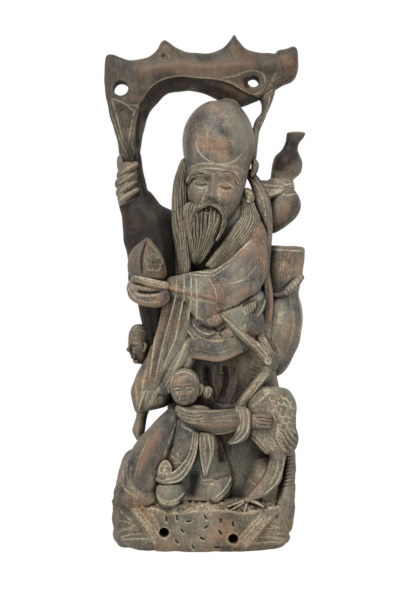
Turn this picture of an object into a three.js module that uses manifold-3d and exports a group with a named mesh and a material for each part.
// Carved wooden statue: a bearded elder with a gnarled staff, a gourd and a sack, a page behind the sleeve,
// and a boy with a crane in front, all on a rock base.
// Millimetres. X runs to the viewer's right, Y to the back and Z up, from the middle of the underside.
import * as THREE from "three";
import { mergeVertices } from "three/addons/utils/BufferGeometryUtils.js";
import Module from "manifold-3d";

const wasm = await Module();
wasm.setup();

// Fit and finish
const GLUE_GAP = 0.3; // left between two carved pieces that meet
const SKIN_TOLERANCE = 0.09; // the most that a skin may be flattened

// Rock base
const BASE_WIDTH = 128;
const BASE_DEPTH = 92;
const BASE_HEIGHT = 34.5;
const BASE_HOLE_DIAMETER = 6;
const BASE_HOLE_DEPTH = 14;
const BASE_HOLE_HEIGHT = 11.5;
const BASE_HOLE_SPACING = 46.7;
const BASE_BAND_WIDTH = 9; // slanting bands left proud on the front
const CRAG_HEIGHT = 32; // rock that climbs on the left
const SPUR_HEIGHT = 41; // rock that stands on the right

// Elder's body
const FIGURE_X = 6; // body axis to the right of the base's middle
const FIGURE_Y = 7; // body axis behind the base's middle
const SKIRT_WIDTH = 104;
const SKIRT_DEPTH = 58;
const SKIRT_HEIGHT = 115.5;
const SKIRT_FOLDS = 13; // as many as would fit all round; only the back has them
const SKIRT_FOLD_DEPTH = 2.2;
const TORSO_HEIGHT = 84;
const SHOULDER_WIDTH = 71;
const TORSO_DEPTH = 47;
const FLARE_WIDTH = 29; // hem of the skirt that swings out on the left
const TAIL_WIDTH = 10; // curl below the hem on the left
const APRON_WIDTH = 50;
const APRON_DROP = 30;
const APRON_OVERHANG = 8;
const SASH_WIDTH = 10;

// Elder's head, hair and beard
const HEAD_WIDTH = 51.6;
const HEAD_DEPTH = 50;
const HEAD_HEIGHT = 92.5;
const HEAD_LEAN = 10.5; // crown to the right of the chin
const CHIN_DROP = 13; // chin below the shoulder line
const NOSE_LENGTH = 15;
const EAR_HEIGHT = 22;
const BEARD_WIDTH = 28;
const BEARD_LENGTH = 42;
const LOCK_WIDTH = 12;
const LOCK_LENGTH = 84;

// Arms, hands and peach
const RAISED_SLEEVE_WIDTH = 40;
const FIST_HEIGHT = 30;
const FINGER_THICKNESS = 6.4;
const FRONT_SLEEVE_WIDTH = 40;
const HANGING_SLEEVE_LENGTH = 71;
const HANGING_SLEEVE_WIDTH = 25.6;
const PEACH_WIDTH = 27;
const PEACH_HEIGHT = 32;
const PALM_WIDTH = 28;

// Staff
const STAFF_DIAMETER = 12;
const STAFF_REACH = 52; // from inside the cuff to the crosspiece
const BAR_LENGTH = 135;
const BAR_HEIGHT = 24;
const BAR_THICKNESS = 22;
const BAR_LEG_DROP = 33;
const BAR_THORN_RISE = 10;
const BAR_LEFT_HOLE = 10;
const BAR_RIGHT_HOLE = 7;
const TWIG_DIAMETER = 8;

// Gourd, sack and page
const GOURD_LENGTH = 76;
const GOURD_DIAMETER = 28;
const GOURD_TIE_THICKNESS = 4;
const STRAP_WIDTH = 6;
const SACK_WIDTH = 35;
const SACK_DEPTH = 40;
const SACK_HEIGHT = 95;
const SACK_TIE_THICKNESS = 4;
const PAGE_HEAD_WIDTH = 16.4;
const PAGE_HEAD_HEIGHT = 28;

// Boy
const BOY_ROBE_WIDTH = 52;
const BOY_ROBE_DEPTH = 32;
const BOY_ROBE_HEIGHT = 66.5;
const CLOAK_WIDTH = 30; // back of the robe, behind the bent boy
const BOY_HEAD_WIDTH = 21.2;
const BOY_HEAD_HEIGHT = 26;
const BOY_SLEEVE_WIDTH = 17;
const BOY_CUFF_WIDTH = 22;
const STOLE_WIDTH = 8;
const SHOE_WIDTH = 21;

// Crane
const CRANE_BODY_LENGTH = 44;
const CRANE_BODY_HEIGHT = 33;
const CRANE_NECK_WIDTH = 9;
const CRANE_BEAK_LENGTH = 40;
const CRANE_WING_LENGTH = 48;
const CRANE_LEG_WIDTH = 7;
const CRANE_TOE_LENGTH = 15;

// Levels and places that follow from the sizes
const baseFront = -BASE_DEPTH / 2;
const baseRight = BASE_WIDTH / 2;
const ledge = BASE_HEIGHT;
const waist = ledge + SKIRT_HEIGHT;
const shoulder = waist + TORSO_HEIGHT;
const chin = shoulder - CHIN_DROP;
const crown = chin + HEAD_HEIGHT;
const torsoX = FIGURE_X + 8;
const headX = FIGURE_X - 1;
const headY = FIGURE_Y - 13;
const skirtFront = FIGURE_Y - SKIRT_DEPTH / 2;
const chestFront = FIGURE_Y - TORSO_DEPTH / 2;
const skirtRight = FIGURE_X + SKIRT_WIDTH / 2;
const torsoLeft = torsoX - SHOULDER_WIDTH / 2;
const torsoRight = torsoX + SHOULDER_WIDTH / 2;
const staffX = torsoLeft - 28.5;
const staffY = FIGURE_Y + 2;
const staffFoot = shoulder + 4;
const staffTop = staffFoot + STAFF_REACH;
const barTop = staffTop + BAR_LEG_DROP + BAR_HEIGHT + 3;
const fistZ = staffTop - 35;
const wristX = torsoLeft + 0.5;
const wristZ = waist + 30;
const sackFoot = waist - 35;
const boyX = FIGURE_X - 17;
const boyY = baseFront + 19;
const boyShoulder = ledge + BOY_ROBE_HEIGHT;
const craneX = skirtRight - 13;
const craneY = baseFront + 19;
const craneZ = ledge + 51.5;

// Solids

const UP = new THREE.Vector3(0, 0, 1);
const RIGHT = new THREE.Vector3(1, 0, 0);

// A closed geometry as a solid that can be joined and cut.
function toSolid(geometry) {
  geometry.deleteAttribute("normal");
  geometry.deleteAttribute("uv");
  const merged = mergeVertices(geometry, 1e-4);
  return new wasm.Manifold(
    new wasm.Mesh({
      numProp: 3,
      vertProperties: merged.attributes.position.array,
      triVerts: new Uint32Array(merged.index.array),
    }),
  );
}

// Catmull-Rom value, at t spans from the start, of rows that hold equally many numbers.
function along(rows, t) {
  const last = rows.length - 1;
  const i = Math.min(Math.floor(t), last - 1);
  const u = t - i;
  const [a, b, c, d] = [i - 1, i, i + 1, i + 2].map((k) => rows[THREE.MathUtils.clamp(k, 0, last)]);
  return b.map((_, k) => {
    const slopeIn = (c[k] - a[k]) / 2;
    const slopeOut = (d[k] - b[k]) / 2;
    const rise = b[k] - c[k];
    return (
      b[k] + u * (slopeIn + u * (-3 * rise - 2 * slopeIn - slopeOut + u * (2 * rise + slopeIn + slopeOut)))
    );
  });
}

const superCosine = (angle, power) =>
  Math.sign(Math.cos(angle)) * Math.abs(Math.cos(angle)) ** (2 / power);

// A lofted body. Each station is [x, y, z, across, deep, slope]: across is the half width in the front plane,
// deep the half width from front to back and slope the angle from the level to the width, in degrees. Without
// slopes the sections stand square to the path, or to the axis given. power squares them off, ends are the
// lengths of the rounded ends, folds flute the skin towards the start and backFolds flute its back.
function loft(stations, options = {}) {
  const { sides = 8, rows = 1, power = 2, axis, ends = [0, 0], grow = 0 } = options;
  const { folds = 0, backFolds = 0, foldDepth = 0 } = options;
  const spans = stations.length - 1;
  const frontAxis = new THREE.Vector3(0, 1, 0);
  const rings = [];
  for (let k = 0; k <= spans * rows; k++) {
    const t = k / rows;
    const [x, y, z, across, deep, slope] = along(stations, t);
    const before = new THREE.Vector3(...along(stations, Math.max(0, t - 0.05)));
    const after = new THREE.Vector3(...along(stations, Math.min(spans, t + 0.05)));
    const tangent = after.sub(before).normalize();
    const tilt = THREE.MathUtils.degToRad(slope ?? 0);
    const square = axis ?? tangent;
    const normal = slope === undefined ? square : new THREE.Vector3(-Math.sin(tilt), 0, Math.cos(tilt));
    const depthAxis = frontAxis.clone().addScaledVector(normal, -frontAxis.dot(normal)).normalize();
    rings.push({
      centre: new THREE.Vector3(x, y, z),
      normal,
      depthAxis,
      widthAxis: depthAxis.clone().cross(normal),
      across: across + grow,
      deep: deep + grow,
      flute: folds ? foldDepth * (1 - t / spans) : foldDepth,
    });
  }
  const domeRing = (ring, length, angle) => ({
    ...ring,
    centre: ring.centre.clone().addScaledVector(ring.normal, length * Math.sin(angle)),
    across: ring.across * Math.cos(angle),
    deep: ring.deep * Math.cos(angle),
  });
  const lengths = [-(ends[0] + grow), ends[1] + grow];
  const [first, last] = [rings[0], rings[rings.length - 1]];
  const tip = (ring, length) => ring.centre.clone().addScaledVector(ring.normal, length);
  const poles = [tip(first, lengths[0]), tip(last, lengths[1])];
  const domeAngles = sides > 12 ? [Math.PI / 3, Math.PI / 6] : [Math.PI / 4];
  if (ends[0]) rings.unshift(...domeAngles.map((angle) => domeRing(first, lengths[0], angle)));
  else first.centre.addScaledVector(first.normal, -grow);
  if (ends[1]) rings.push(...domeAngles.toReversed().map((angle) => domeRing(last, lengths[1], angle)));
  else last.centre.addScaledVector(last.normal, grow);

  const points = rings.flatMap((ring) =>
    Array.from({ length: sides }, (_, j) => {
      const angle = (2 * Math.PI * j) / sides;
      const back = backFolds ? -Math.max(0, Math.sin(angle)) : 1;
      const wave = 1 + (ring.flute / ring.across) * back * Math.cos((folds || backFolds) * angle);
      const point = ring.centre.clone();
      point.addScaledVector(ring.widthAxis, ring.across * wave * superCosine(angle, power));
      const rise = superCosine(angle - Math.PI / 2, power);
      return point.addScaledVector(ring.depthAxis, ring.deep * wave * rise);
    }),
  );
  const faces = [];
  const count = rings.length;
  for (let j = 0; j < sides; j++) {
    const next = (j + 1) % sides;
    for (let k = 0; k < count - 1; k++) {
      const [a, b, c, d] = [k * sides + j, k * sides + next, (k + 1) * sides + next, (k + 1) * sides + j];
      faces.push(a, b, c, a, c, d);
    }
    faces.push(count * sides, next, j);
    faces.push(count * sides + 1, (count - 1) * sides + j, (count - 1) * sides + next);
  }
  const geometry = new THREE.BufferGeometry().setFromPoints([...points, ...poles]);
  return toSolid(geometry.setIndex(faces));
}

// A turned body: profile rows are [share of the axis, radius], revolved about the line from foot to tip.
function turned(profile, foot, tip, { sides = 16, grow = 0 } = {}) {
  const axis = new THREE.Vector3().subVectors(tip, foot);
  const length = axis.length();
  const outline = profile.map(([share, radius]) => new THREE.Vector2(radius + grow, share * length));
  const [first, last] = [outline[0], outline[outline.length - 1]];
  outline.unshift(new THREE.Vector2(0, first.y - grow), first.clone().setY(first.y - grow));
  outline.push(last.clone().setY(last.y + grow), new THREE.Vector2(0, last.y + grow));
  const unique = outline.filter((p, i) => i === 0 || p.distanceTo(outline[i - 1]) > 1e-6);
  const upright = new THREE.Vector3(0, 1, 0);
  const turn = new THREE.Quaternion().setFromUnitVectors(upright, axis.normalize());
  const geometry = new THREE.LatheGeometry(unique, sides).applyQuaternion(turn);
  return toSolid(geometry.translate(foot.x, foot.y, foot.z));
}

const join = (solids) => solids.reduce((sum, solid) => sum.add(solid));

// The largest body of a cut piece, without the chips that a cut can leave.
function mainBody(solid) {
  return solid.decompose().reduce((best, body) => (body.volume() > best.volume() ? body : best));
}

// Rock

function rockBase(grow) {
  const half = [BASE_WIDTH / 2, BASE_DEPTH / 2];
  const power = 3.1;
  const layer = (share, x, across, deep, slope) =>
    [x, 0, share * BASE_HEIGHT, across * half[0], deep * half[1], slope];
  const block = loft(
    [
      layer(0, 0, 0.93, 0.955, 0),
      layer(0.06, 0, 0.95, 0.98, 0),
      layer(0.15, 0.5, 0.98, 1, -1.5),
      layer(0.26, 0.5, 0.967, 1, -1.5),
      layer(0.37, 1.3, 1, 1, -2.5),
      layer(0.65, 1.6, 1, 0.99, -1.5),
      layer(0.86, 1.8, 0.99, 0.94, -1),
      layer(1, 2, 0.94, 0.87, 0),
    ],
    { power, sides: 20, grow },
  );
  const frontAt = (x) => -half[1] * (1 - Math.abs(x / half[0]) ** power) ** (1 / power);
  const band = (top, foot) =>
    loft(
      [top, foot].map(([x, z]) => [x, frontAt(x) + 1.6, z, BASE_BAND_WIDTH / 2, 2.4]),
      { sides: 6, ends: [2, 2], grow },
    );
  const bands = [
    band([-0.38 * BASE_WIDTH, 0.84 * BASE_HEIGHT], [-0.25 * BASE_WIDTH, 0.18 * BASE_HEIGHT]),
    band([0.37 * BASE_WIDTH, 0.7 * BASE_HEIGHT], [0.23 * BASE_WIDTH, 0.15 * BASE_HEIGHT]),
  ];
  const body = join([block, ...bands]);
  if (grow) return body;
  const hole = (side) => {
    const radius = BASE_HOLE_DIAMETER / 2;
    const bit = new THREE.CylinderGeometry(radius, radius, 2 * BASE_HOLE_DEPTH, 12);
    const x = -1.5 + (side * BASE_HOLE_SPACING) / 2;
    return toSolid(bit.translate(x, baseFront, BASE_HOLE_HEIGHT - 2 * side));
  };
  return body.subtract(hole(-1)).subtract(hole(1));
}

function rockCrag(grow) {
  const x = -BASE_WIDTH / 2 + 17;
  const rise = (share) => ledge - 3 + share * (CRAG_HEIGHT + 3);
  const layer = (share, dx, y, across, deep, slope) => [x + dx, y, rise(share), across, deep, slope];
  return loft(
    [
      layer(0, 4.9, -6, 18.9, 36, -1),
      layer(0.26, 4.4, -6, 17.3, 33, -2),
      layer(0.5, 3.1, -5, 13.6, 28, -4),
      layer(0.75, 1.4, -3, 9.6, 20, -6),
      layer(0.95, 0.3, -2, 5.2, 10, -18),
    ],
    { power: 2.6, sides: 12, ends: [0, 2], grow },
  );
}

function rockSpur(grow) {
  const x = baseRight - 5;
  const rise = (share) => ledge - 3.5 + share * (SPUR_HEIGHT + 3.5);
  const layer = (share, dx, y, across, deep, slope) => [x + dx, y, rise(share), across, deep, slope];
  const spur = loft(
    [
      layer(0, -1.7, 0, 8.3, 37, 0),
      layer(0.18, 0.3, 1, 6.7, 33, 0),
      layer(0.44, 1.9, 3, 5.4, 27, 0),
      layer(0.75, 3, 4, 4.3, 18, -5),
      layer(0.94, 3.2, 4, 3.2, 9.5, -20),
    ],
    { power: 2.8, sides: 10, ends: [0, 2], grow },
  );
  const boulder = loft(
    [
      layer(0, -17, -12, 16, 20, 0),
      layer(0.18, -17, -12, 14, 18, 0),
      layer(0.43, -16.6, -12, 10.9, 14, -2),
      layer(0.66, -16, -9, 7.7, 10, -3),
      layer(0.82, -16, -6, 3.8, 5.4, 0),
    ],
    { power: 2.3, sides: 10, ends: [0, 1.5], grow },
  );
  return join([spur, boulder]);
}

// Elder's robe

function elderSkirt(grow) {
  const half = [SKIRT_WIDTH / 2, SKIRT_DEPTH / 2];
  const rise = (share) => ledge - 6 + share * (SKIRT_HEIGHT + 4);
  const layer = (share, x, across, deep, slope) =>
    [FIGURE_X + x, FIGURE_Y, rise(share), across * half[0], deep * half[1], slope];
  return loft(
    [
      layer(0, 5.4, 1, 1, 0),
      layer(0.21, 8, 0.967, 0.966, 0),
      layer(0.38, 11.8, 0.879, 0.93, -1),
      layer(0.55, 13, 0.817, 0.862, -2),
      layer(0.71, 10.1, 0.819, 0.845, -3),
      layer(0.85, 6.1, 0.798, 0.828, -2),
      layer(1, 6.1, 0.687, 0.76, 0),
    ],
    { power: 2.6, sides: 2 * SKIRT_FOLDS, backFolds: SKIRT_FOLDS, foldDepth: SKIRT_FOLD_DEPTH, grow },
  );
}

function elderTorso(grow) {
  const half = [SHOULDER_WIDTH / 2, TORSO_DEPTH / 2];
  const rise = (share) => waist - 7 + share * (TORSO_HEIGHT + 18);
  const layer = (share, x, y, across, deep, slope) =>
    [torsoX + x, FIGURE_Y + y, rise(share), across * half[0], deep * half[1], slope];
  return loft(
    [
      layer(0, -1.2, 0, 1.025, 1.02, 0),
      layer(0.24, -0.5, -1, 1.005, 1.02, -1),
      layer(0.445, -0.1, -1, 0.975, 0.98, -2),
      layer(0.65, -0.1, -1, 0.977, 0.98, -3),
      layer(0.83, 0.3, -2, 0.927, 0.89, -4),
      layer(0.925, 1, -3, 0.763, 0.72, -4),
      layer(0.985, 1.5, -5, 0.5, 0.52, -3),
    ],
    { power: 2.5, sides: 18, ends: [0, 1.5], grow },
  );
}

function robeFlare(grow) {
  const half = FLARE_WIDTH / 2;
  const x = FIGURE_X - SKIRT_WIDTH / 2;
  return loft(
    [
      [x + 6.5, FIGURE_Y - 9, waist - 57, 0.4 * half, 8, 4],
      [x + 10.2, FIGURE_Y - 11, waist - 52.3, 0.82 * half, 12, -7],
      [x + 11.3, FIGURE_Y - 12, waist - 45.9, half, 14, -11],
      [x + 14.3, FIGURE_Y - 12, waist - 37.7, 1.03 * half, 15, -9],
      [x + 17.6, FIGURE_Y - 12, waist - 27.9, half, 15, -7],
      [x + 21.3, FIGURE_Y - 12, waist - 19, 0.92 * half, 15, -3],
      [x + 24.5, FIGURE_Y - 11, waist - 8.5, 0.85 * half, 13, 0],
    ],
    { sides: 10, ends: [1, 3], grow },
  );
}

function robeTail(grow) {
  const half = TAIL_WIDTH / 2;
  const x = FIGURE_X - SKIRT_WIDTH / 2;
  return loft(
    [
      [x + 5.1, FIGURE_Y - 8, waist - 56, 0.96 * half, 7],
      [x + 4.2, FIGURE_Y - 7, waist - 61, 0.8 * half, 6],
      [x + 2.6, FIGURE_Y - 7, waist - 66.4, 0.88 * half, 6],
      [x + 1.7, FIGURE_Y - 8, waist - 71, 0.92 * half, 6.5],
      [x + 2.7, FIGURE_Y - 9, waist - 76, 0.6 * half, 6],
      [x + 4.4, FIGURE_Y - 10, waist - 79, 0.5 * half, 5],
    ],
    { ends: [2, 2], grow },
  );
}

function robeApron(grow) {
  const half = APRON_WIDTH / 2;
  const y = FIGURE_Y - 6;
  const reach = y - (skirtFront - APRON_OVERHANG);
  return loft(
    [
      [FIGURE_X - 1, y, waist - APRON_DROP / 2, 0.92 * half, reach],
      [FIGURE_X - 1, y, waist - 2, half, reach - 3],
      [FIGURE_X - 1, y, waist + APRON_DROP / 2, 0.98 * half, reach - 8],
    ],
    { axis: UP, sides: 12, ends: [3, 2], grow },
  );
}

function waistSash(grow) {
  const half = SASH_WIDTH / 2;
  const front = skirtFront - APRON_OVERHANG + 2;
  return loft(
    [
      [FIGURE_X - 14, front + 1, waist + 8, half, 4.5],
      [FIGURE_X - 2, front - 1, waist + 2, half, 5],
      [FIGURE_X + 15, front + 1, waist + 3, half, 5],
      [FIGURE_X + 31, chestFront, waist + 14, half, 4],
    ],
    { sides: 10, ends: [3, 3], grow },
  );
}

// Elder's head

function elderHead(grow) {
  const half = [HEAD_WIDTH / 2, HEAD_DEPTH / 2];
  const layer = (share, across, deep, y) =>
    [headX + share * HEAD_LEAN, headY + y, chin + share * HEAD_HEIGHT, across * half[0], deep * half[1]];
  const skull = loft(
    [
      layer(0.05, 0.42, 0.68, -2.6),
      layer(0.132, 0.66, 0.85, -1),
      layer(0.209, 0.77, 0.905, 0),
      layer(0.361, 0.84, 0.937, 0),
      layer(0.55, 0.95, 0.97, 0),
      layer(0.7, 1, 1, 0),
      layer(0.818, 0.907, 0.913, 0),
      layer(0.889, 0.756, 0.787, 1),
      layer(0.942, 0.55, 0.61, 1),
      layer(0.978, 0.31, 0.36, 2),
    ],
    { axis: UP, sides: 12, ends: [4, 0.02 * HEAD_HEIGHT], grow },
  );
  const eyeZ = chin + 0.335 * HEAD_HEIGHT;
  const eyeX = headX + 0.335 * HEAD_LEAN;
  const faceFront = headY - 0.93 * half[1];
  const nose = loft(
    [
      [eyeX + 0.4, faceFront + 1.6, eyeZ + 3, 2, 2.6],
      [eyeX, faceFront - 0.8, eyeZ + 3 - 0.7 * NOSE_LENGTH, 2.8, 3.6],
      [eyeX - 0.2, faceFront - 0.6, eyeZ + 3 - NOSE_LENGTH, 4.2, 3.2],
    ],
    { sides: 6, ends: [0, 1.5], grow },
  );
  const earX = eyeX + 0.8 * half[0];
  const ear = loft(
    [
      [earX, headY + 2, eyeZ - EAR_HEIGHT / 2, 2.4, 3.2],
      [earX + 1, headY + 3, eyeZ, 3, 4.6],
      [earX + 1, headY + 3, eyeZ + EAR_HEIGHT / 2, 2.8, 4.2],
    ],
    { sides: 6, ends: [2, 3], grow },
  );
  const brow = (side) =>
    loft(
      [
        [eyeX + side * 3.6, faceFront + 0.6, eyeZ + 5, 1.8, 2.6],
        [eyeX + side * 11, faceFront + 2, eyeZ + 7.4, 2.2, 2.8],
        [eyeX + side * 18, faceFront + 8, eyeZ + 2.4, 1.7, 2.6],
      ],
      { sides: 5, ends: [0, 1], grow },
    );
  return join([skull, nose, ear, brow(-1), brow(1)]);
}

function beard(grow) {
  const half = BEARD_WIDTH / 2;
  const drop = (share) => chin + 15.5 - share * BEARD_LENGTH;
  const at = (share, x, y, across, deep) =>
    [headX + x, chestFront + y, drop(share), across * half, deep];
  return loft(
    [
      at(0, -0.8, -3.5, 1, 9),
      at(0.14, -1.3, -6, 0.98, 9.5),
      at(0.3, -2, -7, 0.86, 9.5),
      at(0.5, -3.5, -7.5, 0.69, 9),
      at(0.7, -5.3, -7.5, 0.52, 8),
      at(0.86, -6.8, -7.5, 0.36, 6.5),
      at(0.97, -7.8, -7, 0.2, 4),
    ],
    { sides: 10, ends: [3, 1.5], grow },
  );
}

function lockLeft(grow) {
  const half = LOCK_WIDTH / 2;
  const drop = (share) => chin + 49 - share * LOCK_LENGTH;
  const at = (share, x, y, across, deep) => [headX + x, headY + y, drop(share), across * half, deep];
  return loft(
    [
      at(0, -16.6, 0, 0.35, 5),
      at(0.18, -19, -6, 0.76, 7),
      at(0.45, -19.5, -10.5, 1, 7.5),
      at(0.74, -17.4, -16, 0.87, 7),
      at(0.87, -16.5, -18, 0.72, 6.5),
      at(1, -16.5, -19, 0.6, 5),
    ],
    { sides: 10, ends: [2, 2], grow },
  );
}

function lockRight(grow) {
  const half = LOCK_WIDTH / 2;
  return loft(
    [
      [headX + 1, chestFront - 9, chin - 28, 0.55 * half, 4.5, -32],
      [headX + 10, chestFront - 7.5, chin - 20, 1.03 * half, 6.5, -19],
      [headX + 18.3, chestFront - 4.5, chin - 10.2, 1.27 * half, 7, -16],
      [headX + 25.4, chestFront - 0.5, chin - 1, 1.38 * half, 7, -15],
      [headX + 29.5, chestFront + 3.5, chin + 7.6, 1.17 * half, 6.5, -12],
      [headX + 28.4, chestFront + 7.5, chin + 15.9, 0.77 * half, 6, -4],
      [headX + 26, chestFront + 10.5, chin + 24.5, 0.6 * half, 5, 15],
    ],
    { sides: 10, ends: [1, 2], grow },
  );
}

// Arms and hands

function raisedSleeve(grow) {
  const half = RAISED_SLEEVE_WIDTH / 2;
  const at = (x, y, z, across, deep, slope) =>
    [staffX + x, FIGURE_Y + y, shoulder + z, across * half, deep, slope];
  return loft(
    [
      at(17.3, -5, -100.5, 0.22, 6, 0),
      at(17, -5, -87.7, 0.375, 8.5, 0),
      at(17.3, -5, -75.6, 0.5, 10, 0),
      at(16.2, -5, -52.1, 0.835, 13, 0),
      at(15.5, -4, -35.8, 0.945, 14, 0),
      at(14.4, -3, -20.1, 1, 14, 0),
      at(13.2, -1, -3.2, 0.99, 14, 6),
      at(6.5, 1, 5.1, 0.745, 12, 8),
      at(0.8, 2, 12.5, 0.58, 9, 14),
    ],
    { sides: 10, ends: [2, 2], grow },
  );
}

function raisedFist(grow) {
  const palm = loft(
    [
      [staffX - 1.5, staffY, fistZ - FIST_HEIGHT / 2, 6.5, 6.5],
      [staffX - 2, staffY, fistZ, 7.5, 9],
      [staffX - 1.5, staffY, fistZ + FIST_HEIGHT / 2 - 4, 6, 8],
    ],
    { ends: [2, 3], grow },
  );
  const radius = FINGER_THICKNESS / 2;
  const pitch = (FIST_HEIGHT - FINGER_THICKNESS) / 4;
  const finger = (i) => {
    const z = fistZ + (1.9 - i) * pitch;
    return loft(
      [
        [staffX - 9, staffY - 3, z - 3, radius, radius],
        [staffX - 1, staffY - 9, z + 1, radius, radius],
        [staffX + 7, staffY - 4, z + 5, 0.8 * radius, 0.8 * radius],
      ],
      { sides: 5, ends: [1, 2], grow },
    );
  };
  return join([palm, ...[0, 1, 2, 3].map(finger)]);
}

function frontSleeve(grow) {
  const half = FRONT_SLEEVE_WIDTH / 2;
  const reach = torsoRight - 12.5 - wristX;
  const at = (share, y, z, across, deep, slope) =>
    [wristX + share * reach, chestFront + y, wristZ + z, across * half, deep, slope];
  return loft(
    [
      at(0, -13, -1.2, 0.38, 7.5, -85),
      at(0.126, -12.5, -1.6, 0.51, 10, -78),
      at(0.233, -11.5, -5.7, 0.79, 12, -80),
      at(0.328, -9.5, -7.8, 0.93, 13.5, -79),
      at(0.484, -7.5, -5.3, 0.915, 14.5, -65),
      at(0.627, -5.5, -1.3, 0.915, 15.5, -50),
      at(0.784, -1.5, 4.8, 0.985, 16.5, -36),
      at(0.889, 3.5, 15.7, 0.875, 17, -26),
      at(0.965, 8.5, 29.2, 0.71, 17.5, -23),
      at(1, 12.5, 43.1, 0.495, 16, -19),
      at(0.993, 14.5, 51, 0.33, 12.5, -13),
    ],
    { sides: 10, ends: [2.5, 2.5], grow },
  );
}

function hangingSleeve(grow) {
  const half = HANGING_SLEEVE_WIDTH / 2;
  const drop = (share) => wristZ - 2 - share * HANGING_SLEEVE_LENGTH;
  const at = (share, x, y, across, deep, slope) =>
    [wristX + x, chestFront + y, drop(share), across * half, deep, slope];
  return loft(
    [
      at(1, -14, 3.5, 0.26, 6, -18),
      at(0.87, -10.7, 1.5, 0.5, 8, -20),
      at(0.7, -6.5, -0.5, 0.66, 9, -16),
      at(0.52, -1.2, -3.5, 0.83, 9.5, -11),
      at(0.33, 4.8, -6.5, 1, 9.5, -8),
      at(0.14, 7.3, -8.5, 0.98, 9.5, -5),
      at(0.02, 8.6, -8.5, 0.9, 9, -5),
    ],
    { sides: 10, ends: [2, 2], folds: 5, foldDepth: 1.4, grow },
  );
}

function peachHand(grow) {
  const half = PALM_WIDTH / 2;
  const x = wristX - 12;
  const y = chestFront - 15;
  const palm = loft(
    [
      [wristX + 4, y + 3, wristZ, 7, 7],
      [x + 4, y, wristZ - 3, 8, 9],
      [x - half + 5, y + 1, wristZ - 2, 6, 8],
    ],
    { sides: 10, ends: [1, 5], grow },
  );
  const finger = (z, deep) =>
    loft(
      [
        [wristX + 2, y - 3, z, 3, 4],
        [x + 2, y - deep, z + 0.5, 3.2, 4],
        [x - half + 6, y - deep + 4, z + 2, 3, 3.4],
      ],
      { sides: 5, ends: [1, 3], grow },
    );
  return join([palm, finger(wristZ + 4, 5), finger(wristZ - 6, 6)]);
}

function peach(grow) {
  const foot = new THREE.Vector3(wristX - 13, chestFront - 13, wristZ + 4);
  const tip = foot.clone().add(new THREE.Vector3(1, 0, PEACH_HEIGHT));
  const radius = PEACH_WIDTH / 2;
  const profile = [[0, 0.4], [0.12, 0.78], [0.32, 1], [0.52, 0.96], [0.72, 0.72], [0.88, 0.36], [1, 0.08]];
  return turned(profile.map(([share, r]) => [share, r * radius]), foot, tip, { sides: 12, grow });
}

// Staff

// The crosspiece: a scalloped bar whose edge rises to thorns, with a leg that runs down into the staff.
function staffHead(grow) {
  const half = BAR_LENGTH / 2;
  const y = staffY + 3;
  const deep = BAR_THICKNESS / 2;
  const dip = barTop - 4.5;
  const thorns = [
    [-half + 2, 3, 5],
    [-26, BAR_THORN_RISE, 6],
    [24, 1.6 * BAR_THORN_RISE, 7],
    [half - 3, 7, 8],
  ];
  const cusp = (x, [at, rise, width]) => rise * Math.exp(-Math.abs(x - at) / width);
  const topEdge = (x) => thorns.reduce((z, thorn) => z + cusp(x, thorn), dip + 0.09 * Math.min(0, x));
  const low = dip - BAR_HEIGHT;
  const underside = [
    [-half, low - 2],
    [-half + 8, low - 9],
    [-44, low - 11],
    [-34, low - 6],
    [-26, low],
    [-14, low + 2.5],
    [-2, low + 2.5],
    [8, low - 1],
    [20, low - 5.5],
    [34, low - 5.5],
    [half - 22, low - 3],
    [half - 14, low + 4],
    [half, low + 11],
  ];
  const bottomEdge = (x) => {
    const next = Math.max(1, underside.findIndex(([at]) => at >= x));
    const [[x0, z0], [x1, z1]] = [underside[next - 1], underside[next]];
    return THREE.MathUtils.lerp(z0, z1, (x - x0) / (x1 - x0));
  };
  const sections = [-half, -half + 2, -58, -46, -35, -29, -26, -23, -17, -6, 8, 16, 21, 24, 27, 32];
  sections.push(41, 52, half - 3, half);
  const bar = loft(
    sections.map((x) => [x, y, (topEdge(x) + bottomEdge(x)) / 2, (topEdge(x) - bottomEdge(x)) / 2, deep]),
    { sides: 8, power: 3, axis: RIGHT, grow },
  );
  const leg = loft(
    [
      [staffX, y, staffTop, 8.8, 0.72 * deep],
      [staffX - 0.5, y, staffTop + 12, 12.2, 0.85 * deep],
      [staffX, y, staffTop + 25, 17.5, 0.95 * deep],
      [staffX + 2, y, staffTop + 36, 19, deep],
    ],
    { sides: 8, power: 3, axis: UP, grow },
  );
  const rightHole = [half - 31, y, low + 5.5];
  const rim = new THREE.TorusGeometry(BAR_RIGHT_HOLE / 2 + 4, 2 + grow, 5, 14);
  rim.rotateX(Math.PI / 2).translate(rightHole[0], y - deep, rightHole[2]);
  const body = join([bar, leg, toSolid(rim)]);
  if (grow) return body;
  const bore = (x, z, diameter) => {
    const bit = new THREE.CylinderGeometry(diameter / 2, diameter / 2, 2 * BAR_THICKNESS, 14);
    return toSolid(bit.translate(x, y, z));
  };
  const leftHole = bore(-half + 11.5, low + 1, BAR_LEFT_HOLE);
  return body.subtract(leftHole).subtract(bore(rightHole[0], rightHole[2], BAR_RIGHT_HOLE));
}

function staffShaft(grow) {
  const radius = STAFF_DIAMETER / 2;
  const rise = (share) => staffFoot + share * STAFF_REACH;
  const at = (share, x, y, size) => [staffX + x, staffY + y, rise(share), size * radius, size * radius];
  return loft(
    [
      at(0, -0.5, -1, 0.9),
      at(0.35, -1, 0, 1),
      at(0.7, -0.5, 1, 1.15),
      at(1, 0, 3, 1.4),
    ],
    { sides: 10, ends: [2, 0], grow },
  );
}

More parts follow.
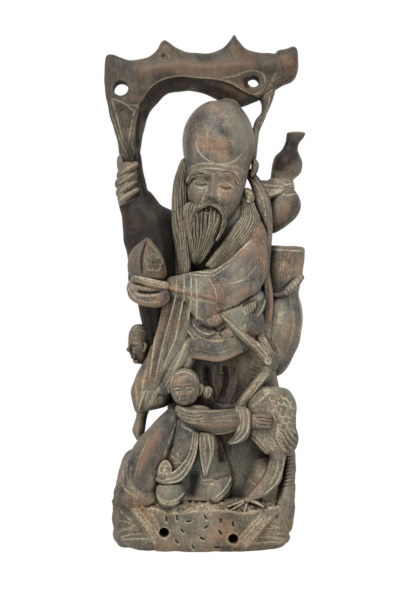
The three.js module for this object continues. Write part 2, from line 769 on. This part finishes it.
function staffTwig(grow) {
  const radius = TWIG_DIAMETER / 2;
  const x = FIGURE_X + 32.5;
  return loft(
    [
      [x + 12, staffY + 3, barTop - 28, 1.1 * radius, 1.2 * radius],
      [x + 6.5, staffY + 1, barTop - 44, radius, radius],
      [x + 2, staffY - 4, barTop - 60, 0.8 * radius, radius],
      [x + 0.5, staffY - 8, barTop - 80, 0.6 * radius, radius],
    ],
    { sides: 10, ends: [3, 2], grow },
  );
}

// Gourd, sack and page

const gourdFoot = new THREE.Vector3(torsoRight + 0.5, FIGURE_Y + 6, shoulder - 16);
const gourdTip = gourdFoot.clone().add(new THREE.Vector3(0.242, -0.02, 0.97).multiplyScalar(GOURD_LENGTH));

function gourd(grow) {
  const radius = GOURD_DIAMETER / 2;
  const bulb = [[0.01, 0.2], [0.08, 0.59], [0.17, 0.89], [0.28, 1], [0.38, 0.93], [0.47, 0.71]];
  const neck = [[0.52, 0.61], [0.6, 0.76], [0.69, 0.77], [0.77, 0.6], [0.83, 0.33], [0.89, 0.29], [1, 0.48]];
  const profile = [...bulb, ...neck].map(([share, r]) => [share, r * radius]);
  return turned(profile, gourdFoot, gourdTip, { sides: 12, grow });
}

function gourdTie(grow) {
  const radius = 0.305 * GOURD_DIAMETER + 1.2;
  const ring = new THREE.TorusGeometry(radius, GOURD_TIE_THICKNESS / 2 + grow, 5, 12);
  const axis = new THREE.Vector3().subVectors(gourdTip, gourdFoot).normalize();
  ring.applyQuaternion(new THREE.Quaternion().setFromUnitVectors(new THREE.Vector3(0, 0, 1), axis));
  const waistPoint = gourdFoot.clone().lerp(gourdTip, 0.52);
  return toSolid(ring.translate(waistPoint.x, waistPoint.y, waistPoint.z));
}

function shoulderStrap(grow) {
  const half = STRAP_WIDTH / 2;
  const hairRight = headX + HEAD_LEAN + HEAD_WIDTH / 2;
  const at = (x, y, z, across) => [x, FIGURE_Y + y, shoulder + z, across * half, 4.3];
  return loft(
    [
      at(hairRight - 10.3, -5, 30.5, 0.8),
      at(hairRight - 5.1, -7, 25.2, 0.94),
      at(hairRight + 0.1, -9, 18.6, 1),
      at(torsoRight - 4.3, -11, 10, 1),
      at(torsoRight - 2.2, -13, -0.7, 0.9),
      at(torsoRight - 2.3, -15, -27.6, 0.77),
      at(torsoRight - 3, -15, -41.7, 0.6),
    ],
    { sides: 8, ends: [1, 2], grow },
  );
}

function sack(grow) {
  const half = [SACK_WIDTH / 2, SACK_DEPTH / 2];
  const rise = (share) => sackFoot + share * SACK_HEIGHT;
  const layer = (share, x, y, across, deep, slope) =>
    [torsoRight + x, FIGURE_Y + y, rise(share), across * half[0], deep * half[1], slope];
  return loft(
    [
      layer(0.02, 2.6, 3.5, 0.28, 0.45, -14),
      layer(0.18, 4.1, 5, 0.77, 0.8, -6),
      layer(0.29, 4.9, 5, 0.94, 0.95, -5),
      layer(0.4, 5.9, 5, 1, 1, -4),
      layer(0.515, 6.8, 5, 0.93, 0.95, -1),
      layer(0.615, 7.2, 5, 0.78, 0.8, 2),
      layer(0.69, 8.6, 5, 0.74, 0.7, 2),
      layer(0.755, 9.3, 5, 0.78, 0.725, 0),
      layer(0.94, 10.5, 4, 0.815, 0.72, -3),
      layer(0.985, 10.8, 3.4, 0.78, 0.66, -2),
    ],
    { sides: 12, ends: [1.5, 1.2], grow },
  );
}

function sackTie(grow) {
  const z = sackFoot + 0.665 * SACK_HEIGHT;
  const x = torsoRight + 8.2;
  const layer = (dz, size) =>
    [x, FIGURE_Y + 5, z + dz, 0.372 * SACK_WIDTH + size, 0.355 * SACK_DEPTH + size];
  const half = SACK_TIE_THICKNESS / 2;
  return loft([layer(-half, 0.6), layer(0, half), layer(half, 0.6)], { axis: UP, sides: 12, grow });
}

function pageHead(grow) {
  const half = PAGE_HEAD_WIDTH / 2;
  const x = staffX + 6.6;
  const z = waist - 24;
  const layer = (share, across, deep) =>
    [x, FIGURE_Y - 5, z + share * PAGE_HEAD_HEIGHT, across * half, deep * half];
  const skull = loft(
    [
      layer(0.06, 0.5, 0.55),
      layer(0.28, 0.9, 0.95),
      layer(0.55, 1, 1.08),
      layer(0.82, 0.78, 0.85),
    ],
    { axis: UP, sides: 10, ends: [1.5, 0.18 * PAGE_HEAD_HEIGHT], grow },
  );
  const nose = loft(
    [
      [x - half, FIGURE_Y - 7, z + 0.45 * PAGE_HEAD_HEIGHT, 1.6, 1.8],
      [x - half - 0.4, FIGURE_Y - 7, z + 0.32 * PAGE_HEAD_HEIGHT, 2, 2],
    ],
    { sides: 6, ends: [1, 1], grow },
  );
  return join([skull, nose]);
}

// Boy

function boyCloak(grow) {
  const half = CLOAK_WIDTH / 2;
  const at = (x, y, z, across, deep, slope) =>
    [boyX + x, boyY + y, ledge + z, across * half, deep, slope];
  return loft(
    [
      at(-30.2, 5, -0.5, 0.69, 15, -15),
      at(-30.7, 5, 4.9, 0.85, 17, -19),
      at(-29, 5, 13.2, 0.94, 18, -23),
      at(-25.3, 5, 22.6, 1, 18, -26),
      at(-20.5, 5, 32.8, 0.94, 17, -24),
      at(-10.1, 6, 50.2, 0.6, 12, -16),
      at(-4.6, 7, 59.2, 0.36, 8.5, -16),
    ],
    { sides: 10, ends: [1.5, 2], grow },
  );
}

function boyRobe(grow) {
  const half = [BOY_ROBE_WIDTH / 2, BOY_ROBE_DEPTH / 2];
  const rise = (share) => ledge - 1 + share * BOY_ROBE_HEIGHT;
  const layer = (share, x, y, across, deep, slope) =>
    [boyX + x, boyY + y, rise(share), across * half[0], deep * half[1], slope];
  return loft(
    [
      layer(0, 6.2, 3, 0.96, 1, 2),
      layer(0.15, 6.6, 2, 1, 1, 2),
      layer(0.3, 7.6, 1, 0.93, 1, 2),
      layer(0.47, 8.3, 0, 0.77, 0.97, 0),
      layer(0.66, 8.3, -1, 0.61, 0.91, -1),
      layer(0.84, 8.7, -1, 0.52, 0.81, -3),
      layer(0.97, 7.2, 0, 0.37, 0.66, -2),
    ],
    { power: 2.3, sides: 12, ends: [0, 2], grow },
  );
}

function boyHead(grow) {
  const half = BOY_HEAD_WIDTH / 2;
  const y = boyY - 4;
  const rise = (share) => boyShoulder - 2.6 + share * BOY_HEAD_HEIGHT;
  const layer = (share, across, deep) => [boyX, y, rise(share), across * half, deep * half];
  const skull = loft(
    [
      layer(0.06, 0.48, 0.66),
      layer(0.18, 0.77, 0.86),
      layer(0.38, 0.97, 0.96),
      layer(0.6, 1, 0.98),
      layer(0.815, 0.84, 0.83),
      layer(0.94, 0.54, 0.57),
    ],
    { axis: UP, sides: 10, ends: [1.5, 0.06 * BOY_HEAD_HEIGHT], grow },
  );
  const nose = loft(
    [
      [boyX + 1, y - half + 1.4, rise(0.52), 1.2, 1.8],
      [boyX + 1.2, y - half + 0.8, rise(0.36), 1.8, 2],
    ],
    { sides: 6, ends: [1, 1], grow },
  );
  const ear = (side) =>
    loft(
      [
        [boyX + side * (half - 0.3), y + 1, rise(0.34), 1.6, 2.4],
        [boyX + side * half, y + 1, rise(0.56), 1.8, 2.8],
      ],
      { sides: 6, ends: [1, 1], grow },
    );
  return join([skull, nose, ear(-1), ear(1)]);
}

function boySleeve(grow) {
  const half = BOY_SLEEVE_WIDTH / 2;
  const at = (x, y, z, across, deep, slope) =>
    [boyX + x, boyY + y, boyShoulder + z, across * half, deep, slope];
  return loft(
    [
      at(-5, -1.5, -2.5, 0.45, 7, -140),
      at(-1.4, -5, -6.2, 0.64, 8.5, -132),
      at(5.3, -9, -9.8, 0.83, 9, -117),
      at(14.2, -11.5, -12.2, 0.94, 9.5, -103),
      at(23.7, -12.5, -12.8, 1, 9.5, -92),
      at(33.3, -12.5, -11.2, 0.9, 9, -82),
      at(38.7, -12, -9.9, 0.79, 8, -81),
    ],
    { sides: 10, ends: [1.5, 0], grow },
  );
}

function boyCuff(grow) {
  const half = BOY_CUFF_WIDTH / 2;
  const x = boyX + 33;
  const z = boyShoulder - 17;
  const band = loft(
    [
      [x, boyY - 13, z, 0.95 * half, 10],
      [x + 4, boyY - 12, z, 1.05 * half, 11],
      [x + 8, boyY - 11, z, 0.9 * half, 10],
    ],
    { sides: 12, grow },
  );
  const tail = loft(
    [
      [x + 2, boyY - 12, z - 6, 5, 6],
      [x - 4, boyY - 13, z - 14, 4, 4.5],
    ],
    { sides: 10, ends: [1, 2], grow },
  );
  return join([band, tail]);
}

function boyHand(grow) {
  const x = boyX + 42;
  const z = boyShoulder - 16;
  const palm = loft(
    [
      [x - 3, boyY - 11, z, 6, 6],
      [x + 5, boyY - 11, z, 6.5, 5.5],
    ],
    { sides: 10, ends: [1, 3], grow },
  );
  const finger = (i) => {
    const height = z + (i - 1.5) * 3.1;
    return loft(
      [
        [x + 1, boyY - 15, height, 1.5, 2],
        [x + 11, boyY - 14, height, 1.4, 2],
      ],
      { sides: 5, ends: [0, 1.5], grow },
    );
  };
  return join([palm, ...[0, 1, 2, 3].map(finger)]);
}

function boyStole(grow) {
  const half = STOLE_WIDTH / 2;
  const front = boyY - BOY_ROBE_DEPTH / 2;
  return loft(
    [
      [boyX + 4, front + 2, ledge + 44, half, 3],
      [boyX - 4, front, ledge + 27, half, 3.2],
      [boyX - 15, front + 1, ledge + 16, 1.1 * half, 3.4],
      [boyX - 25, front + 5, ledge + 15, half, 4],
    ],
    { sides: 10, ends: [2, 3], grow },
  );
}

function boyTassels(grow) {
  const front = boyY - BOY_ROBE_DEPTH / 2;
  return loft(
    [
      [boyX + 7, front + 2, ledge + 42, 4, 3],
      [boyX + 9, front, ledge + 28, 6, 3.4],
      [boyX + 11, front + 1, ledge + 15, 4, 3],
    ],
    { sides: 10, ends: [2, 2], grow },
  );
}

function boyShoes(side) {
  return (grow) => {
    const half = SHOE_WIDTH / 2;
    const x = boyX + 6.6 + side * 15.8;
    const lift = 1.5 + 1.8 * side;
    const at = (dx, y, z, across, deep) =>
      [x + dx, boyY + y, ledge + lift + z, across * half, deep, 6];
    return loft(
      [
        at(-0.4, -5, -4.5, 0.55, 9),
        at(-0.3, -6, 0, 0.86, 11.5),
        at(0.2, -6, 6, 1, 11.5),
        at(0.4, -5, 11, 0.95, 10.5),
      ],
      { sides: 10, ends: [2, 3], grow },
    );
  };
}

// Crane

function craneBody(grow) {
  const half = CRANE_BODY_HEIGHT / 2;
  const x = craneX - CRANE_BODY_LENGTH / 2;
  return loft(
    [
      [x + 4, craneY - 1, craneZ + 11, 0.62 * half, 10],
      [x + 18, craneY, craneZ + 7, half, 13],
      [x + 0.72 * CRANE_BODY_LENGTH, craneY + 2, craneZ - 3, 0.96 * half, 13],
      [x + CRANE_BODY_LENGTH - 6, craneY + 4, craneZ - 15, 0.55 * half, 9],
    ],
    { sides: 10, ends: [5, 4], grow },
  );
}

function craneNeck(grow) {
  const half = CRANE_NECK_WIDTH / 2;
  return loft(
    [
      [craneX - 18, craneY - 4, craneZ + 16, 1.3 * half, 6],
      [craneX - 16, craneY - 5, craneZ + 24, half, 5],
      [craneX - 9, craneY - 5, craneZ + 34, 0.95 * half, 4.6],
      [craneX - 1, craneY - 4, craneZ + 43, half, 4.8],
      [craneX + 1, craneY - 4, craneZ + 49, 1.25 * half, 5.4],
    ],
    { sides: 10, ends: [3, 5], grow },
  );
}

function craneBeak(grow) {
  const start = [craneX - 1, craneY - 5, craneZ + 51];
  const run = CRANE_BEAK_LENGTH * Math.SQRT1_2;
  return loft(
    [
      [...start, 4.2, 3.8],
      [start[0] - 0.5 * run, start[1] - 1, start[2] + 0.48 * run, 2.7, 2.6],
      [start[0] - run, start[1] - 2, start[2] + 0.95 * run, 0.8, 0.8],
    ],
    { sides: 6, ends: [2, 0.5], grow },
  );
}

function craneBack(grow) {
  return loft(
    [
      [craneX - 6, craneY + 8, craneZ + 22, 9, 12],
      [craneX + 9, craneY + 9, craneZ + 20, 10, 12],
      [craneX + 17, craneY + 9, craneZ + 11, 6, 10],
    ],
    { sides: 10, ends: [4, 4], grow },
  );
}

function craneWing(grow) {
  const top = [craneX + 3, craneY - 11, craneZ + 14];
  const drop = (share) => top[2] - share * CRANE_WING_LENGTH;
  const at = (share, x, y, across, deep) => [top[0] + x, top[1] + y, drop(share), across, deep];
  return loft(
    [
      at(0, 0, 0, 7, 4),
      at(0.3, 8, 1, 11, 5.5),
      at(0.65, 14, 5, 9, 5),
      at(1, 18, 9, 3, 3),
    ],
    { sides: 12, ends: [3, 2], folds: 6, foldDepth: 0.7, grow },
  );
}

function craneLeg(grow) {
  const half = CRANE_LEG_WIDTH / 2;
  return loft(
    [
      [craneX + 2, craneY, craneZ - 12, 2.6 * half, 8],
      [craneX + 5, craneY - 2, craneZ - 26, 1.6 * half, 6],
      [craneX - 2, craneY - 6, craneZ - 40, half, 4],
      [craneX - 10, craneY - 9, ledge + 2, 0.95 * half, 3.6],
    ],
    { sides: 10, ends: [2, 1], grow },
  );
}

function craneFoot(grow) {
  const hub = [craneX - 10, craneY - 10, ledge + 1.6];
  const toe = (dx, dy) =>
    loft(
      [
        [...hub, 2.6, 2.2],
        [hub[0] + dx * CRANE_TOE_LENGTH, hub[1] + dy * CRANE_TOE_LENGTH, hub[2], 1.6, 1.5],
      ],
      { sides: 5, ends: [0, 1], grow },
    );
  return join([toe(-0.95, -0.12), toe(-0.75, -0.62), toe(0.55, -0.45), toe(0.8, 0.3)]);
}

// Finishes
const finish = (color, roughness) => new THREE.MeshStandardMaterial({ color, roughness, metalness: 0 });
const robeWood = finish(0x5a4d42, 0.6);
const skinWood = finish(0x6e5b4c, 0.5);
const hairWood = finish(0x5d5446, 0.75);
const staffWood = finish(0x66554a, 0.55);
const rockWood = finish(0x665a4a, 0.75);
const featherWood = finish(0x6b6052, 0.65);

// The carving order: each piece is fitted to the pieces above it in the list.
const groups = {
  rock: [
    ["rock_base", rockBase, rockWood],
    ["rock_crag", rockCrag, rockWood],
    ["rock_spur", rockSpur, rockWood],
  ],
  elder: [
    ["elder_skirt", elderSkirt, robeWood],
    ["elder_torso", elderTorso, robeWood],
    ["elder_head", elderHead, skinWood],
    ["beard", beard, hairWood],
    ["hair_lock_left", lockLeft, hairWood],
    ["hair_lock_right", lockRight, hairWood],
    ["front_sleeve", frontSleeve, robeWood],
    ["robe_flare", robeFlare, robeWood],
    ["robe_tail", robeTail, robeWood],
    ["robe_apron", robeApron, robeWood],
    ["hanging_sleeve", hangingSleeve, robeWood],
    ["waist_sash", waistSash, robeWood],
    ["peach_hand", peachHand, skinWood],
    ["peach", peach, skinWood],
  ],
  staff: [
    ["staff_head", staffHead, staffWood],
    ["staff_shaft", staffShaft, staffWood],
    ["raised_fist", raisedFist, skinWood],
    ["raised_sleeve", raisedSleeve, robeWood],
    ["staff_twig", staffTwig, staffWood],
  ],
  burden: [
    ["gourd", gourd, staffWood],
    ["gourd_tie", gourdTie, robeWood],
    ["sack", sack, robeWood],
    ["sack_tie", sackTie, robeWood],
    ["shoulder_strap", shoulderStrap, robeWood],
    ["page_head", pageHead, skinWood],
  ],
  crane: [
    ["crane_body", craneBody, featherWood],
    ["crane_neck", craneNeck, featherWood],
    ["crane_beak", craneBeak, featherWood],
    ["crane_back", craneBack, featherWood],
    ["crane_wing", craneWing, featherWood],
    ["crane_leg", craneLeg, featherWood],
    ["crane_foot", craneFoot, featherWood],
  ],
  boy: [
    ["boy_robe", boyRobe, robeWood],
    ["boy_head", boyHead, skinWood],
    ["boy_sleeve", boySleeve, robeWood],
    ["boy_cuff", boyCuff, robeWood],
    ["boy_hand", boyHand, skinWood],
    ["boy_stole", boyStole, robeWood],
    ["boy_tassels", boyTassels, robeWood],
    ["boy_shoe_left", boyShoes(-1), robeWood],
    ["boy_shoe_right", boyShoes(1), robeWood],
    ["boy_cloak", boyCloak, robeWood],
  ],
};

// A named mesh whose geometry is centred on itself and whose position puts it in the statue.
function toMesh(name, solid, material) {
  const { vertProperties, triVerts } = solid.getMesh();
  const geometry = new THREE.BufferGeometry();
  geometry.setAttribute("position", new THREE.BufferAttribute(vertProperties, 3));
  geometry.setIndex(new THREE.BufferAttribute(triVerts, 1));
  geometry.computeBoundingBox();
  const centre = geometry.boundingBox.getCenter(new THREE.Vector3());
  geometry.translate(-centre.x, -centre.y, -centre.z).computeVertexNormals();
  const mesh = new THREE.Mesh(geometry, material);
  mesh.name = name;
  mesh.position.copy(centre);
  return mesh;
}

const statue = new THREE.Group();
const seats = [];
for (const [groupName, pieces] of Object.entries(groups)) {
  const group = new THREE.Group();
  group.name = groupName;
  for (const [name, form, material] of pieces) {
    const fitted = seats.reduce((solid, seat) => solid.subtract(seat), form(0));
    group.add(toMesh(name, mainBody(fitted).simplify(SKIN_TOLERANCE), material));
    seats.push(form(GLUE_GAP));
  }
  statue.add(group);
}

export default statue;
